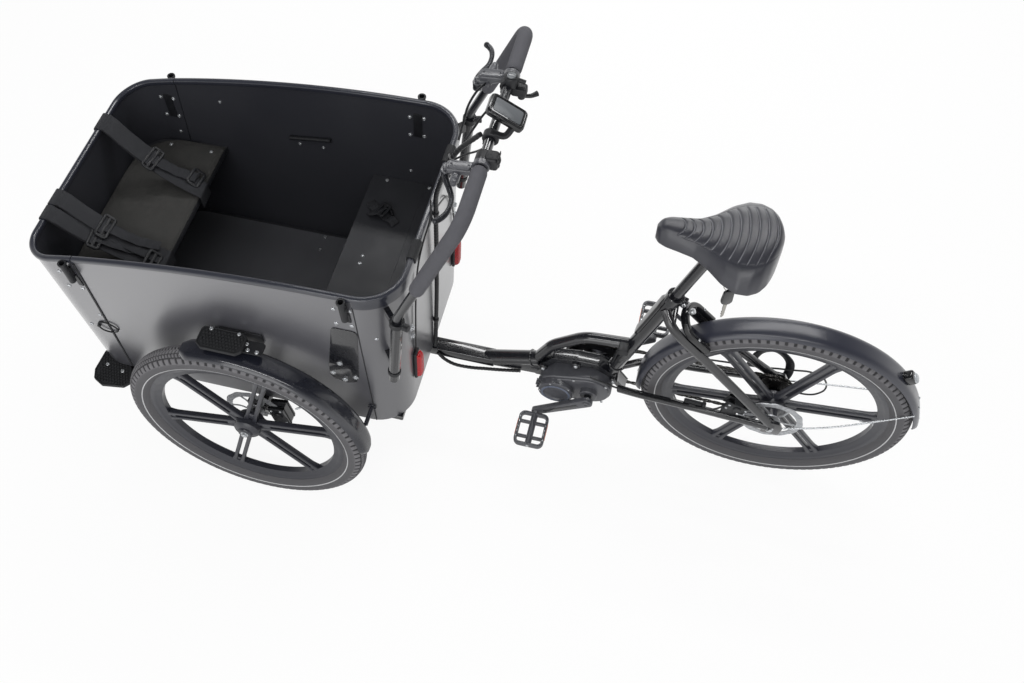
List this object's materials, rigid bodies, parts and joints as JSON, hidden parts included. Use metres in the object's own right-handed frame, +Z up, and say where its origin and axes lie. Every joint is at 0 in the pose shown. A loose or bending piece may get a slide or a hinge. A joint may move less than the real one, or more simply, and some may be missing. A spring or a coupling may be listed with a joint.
{
  "type": "electric cargo tricycle",
  "caption": "Electric cargo tricycle with a walled box between leaning front wheels, steered by a push bar, folding front wall, mid motor, chain drive and saddle.",
  "frame": {"origin": "on the ground, in the middle of the tricycle's length and width", "axes": "+X towards the rear wheel, +Y to the rider's right, +Z up; the box faces -X"},
  "size_m": [2.121, 0.8208, 1.252],
  "materials": {
    "frame_paint": "satin anthracite paint",
    "fender_paint": "gloss blue-black paint",
    "wall_sheet": "gloss black composite sheet",
    "trim_plastic": "blue-grey edge trim",
    "board": "black coated board",
    "black_plastic": "moulded black plastic",
    "rim_alloy": "dark grey cast alloy",
    "tyre_rubber": "matt rubber with a silver stripe",
    "grip_foam": "black foam",
    "bright_steel": "bright steel",
    "dark_steel": "black steel",
    "saddle_cover": "sewn dark cover",
    "bench_fabric": "dark woven cover",
    "webbing": "black webbing",
    "red_lens": "red lamp lens"
  },
  "bodies": {
    "rear_frame": {"main_frame": "frame_paint", "drive_motor": "rim_alloy", "rear_fender": "fender_paint", "rear_lamp": "black_plastic", "derailleur": "black_plastic", "chain": "dark_steel", "ring_lock": "black_plastic", "frame_cable": "black_plastic"},
    "front_unit": {"front_frame": "frame_paint", "box_shell": "wall_sheet", "box_rim": "trim_plastic", "box_floor": "board", "front_bench": "board", "front_bench_pad": "bench_fabric", "battery_pack": "black_plastic", "harness_left": "webbing", "harness_right": "webbing", "pole_socket_rear_left": "dark_steel", "pole_socket_rear_right": "dark_steel", "handlebar": "frame_paint", "bar_socket_left": "frame_paint", "bar_socket_right": "frame_paint", "grip_left": "grip_foam", "grip_right": "grip_foam", "brake_housing_left": "black_plastic", "brake_housing_right": "black_plastic", "gear_shifter": "black_plastic", "control_pad": "black_plastic", "display": "black_plastic", "tail_lamp_left": "red_lens", "tail_lamp_right": "red_lens", "front_fender_left": "fender_paint", "front_fender_right": "fender_paint", "fender_step_left": "black_plastic", "fender_step_right": "black_plastic", "front_step_left": "black_plastic", "front_step_right": "black_plastic", "wrapped_cable": "black_plastic"},
    "door": {"front_door": "wall_sheet", "door_rim": "trim_plastic", "pole_socket_front_left": "dark_steel", "pole_socket_front_right": "dark_steel"},
    "bench_lid": {"rear_bench_lid": "board"},
    "left_brake_lever": {"brake_lever_left": "dark_steel"},
    "right_brake_lever": {"brake_lever_right": "dark_steel"},
    "thumb_shifter": {"shift_lever": "black_plastic"},
    "button": {"mode_button": "black_plastic"},
    "left_front_wheel": {"front_wheel_left": "rim_alloy", "front_tyre_left": "tyre_rubber"},
    "right_front_wheel": {"front_wheel_right": "rim_alloy", "front_tyre_right": "tyre_rubber"},
    "lock_slider": {"lock_knob": "bright_steel"},
    "crankset": {"crank_left": "dark_steel", "crank_right": "dark_steel"},
    "left_pedal": {"pedal_left": "black_plastic"},
    "right_pedal": {"pedal_right": "black_plastic"},
    "back_wheel": {"rear_wheel": "rim_alloy", "rear_tyre": "tyre_rubber"},
    "seat": {"seat_post": "frame_paint", "saddle": "saddle_cover"}
  },
  "joints": [
    {"name": "steering", "type": "hinge", "parent": "rear_frame", "child": "front_unit", "pos_m": [-0.4835, 0, 0.27], "axis": [0, 0, 1], "range_deg": [-35, 35]},
    {"name": "door_fold", "type": "hinge", "parent": "front_unit", "child": "door", "pos_m": [-1.0475, 0, 0.296], "axis": [0, -1, 0], "range_deg": [0, 90]},
    {"name": "bench_lid_tilt", "type": "hinge", "parent": "front_unit", "child": "bench_lid", "pos_m": [-0.2715, 0, 0.612], "axis": [0, 1, 0], "range_deg": [0, 85]},
    {"name": "left_brake", "type": "hinge", "parent": "front_unit", "child": "left_brake_lever", "pos_m": [-0.0775, -0.119, 1.1525], "axis": [0, 0, 1], "range_deg": [0, 20], "stiffness_Nm_per_rad": 1.5, "springref_deg": -11.46},
    {"name": "right_brake", "type": "hinge", "parent": "front_unit", "child": "right_brake_lever", "pos_m": [-0.0775, 0.119, 1.1525], "axis": [0, 0, -1], "range_deg": [0, 20], "stiffness_Nm_per_rad": 1.5, "springref_deg": -11.46},
    {"name": "shift_push", "type": "hinge", "parent": "front_unit", "child": "thumb_shifter", "pos_m": [0.0205, 0.094, 1.1695], "axis": [0, 0, 1], "range_deg": [0, 25], "stiffness_Nm_per_rad": 0.3, "springref_deg": -5.73},
    {"name": "button_press", "type": "slide", "parent": "front_unit", "child": "button", "axis": [-1, 0, 0], "range_m": [0, 0.0015], "stiffness_N_per_m": 400, "springref_m": -0.001},
    {"name": "left_front_wheel_spin", "type": "hinge", "parent": "front_unit", "child": "left_front_wheel", "pos_m": [-0.5835, -0.36, 0.31274], "axis": [0, 0.9973, -0.0732], "continuous": true},
    {"name": "right_front_wheel_spin", "type": "hinge", "parent": "front_unit", "child": "right_front_wheel", "pos_m": [-0.5835, 0.36, 0.31274], "axis": [0, 0.9973, 0.0732], "continuous": true},
    {"name": "rear_wheel_spin", "type": "hinge", "parent": "rear_frame", "child": "back_wheel", "pos_m": [0.7125, 0, 0.3395], "axis": [0, 1, 0], "continuous": true},
    {"name": "lock_slide", "type": "slide", "parent": "rear_frame", "child": "lock_slider", "axis": [0, 1, 0], "range_m": [0, 0.014]},
    {"name": "crank_spin", "type": "hinge", "parent": "rear_frame", "child": "crankset", "pos_m": [0.2455, 0, 0.288], "axis": [0, 1, 0], "continuous": true},
    {"name": "left_pedal_spin", "type": "hinge", "parent": "crankset", "child": "left_pedal", "pos_m": [0.1125, -0.14, 0.1822], "axis": [0, 1, 0], "continuous": true},
    {"name": "right_pedal_spin", "type": "hinge", "parent": "crankset", "child": "right_pedal", "pos_m": [0.3785, 0.14, 0.3938], "axis": [0, 1, 0], "continuous": true},
    {"name": "seat_height", "type": "slide", "parent": "rear_frame", "child": "seat", "axis": [0.2887, 0, 0.9574], "range_m": [-0.06, 0.08]}
  ]
}
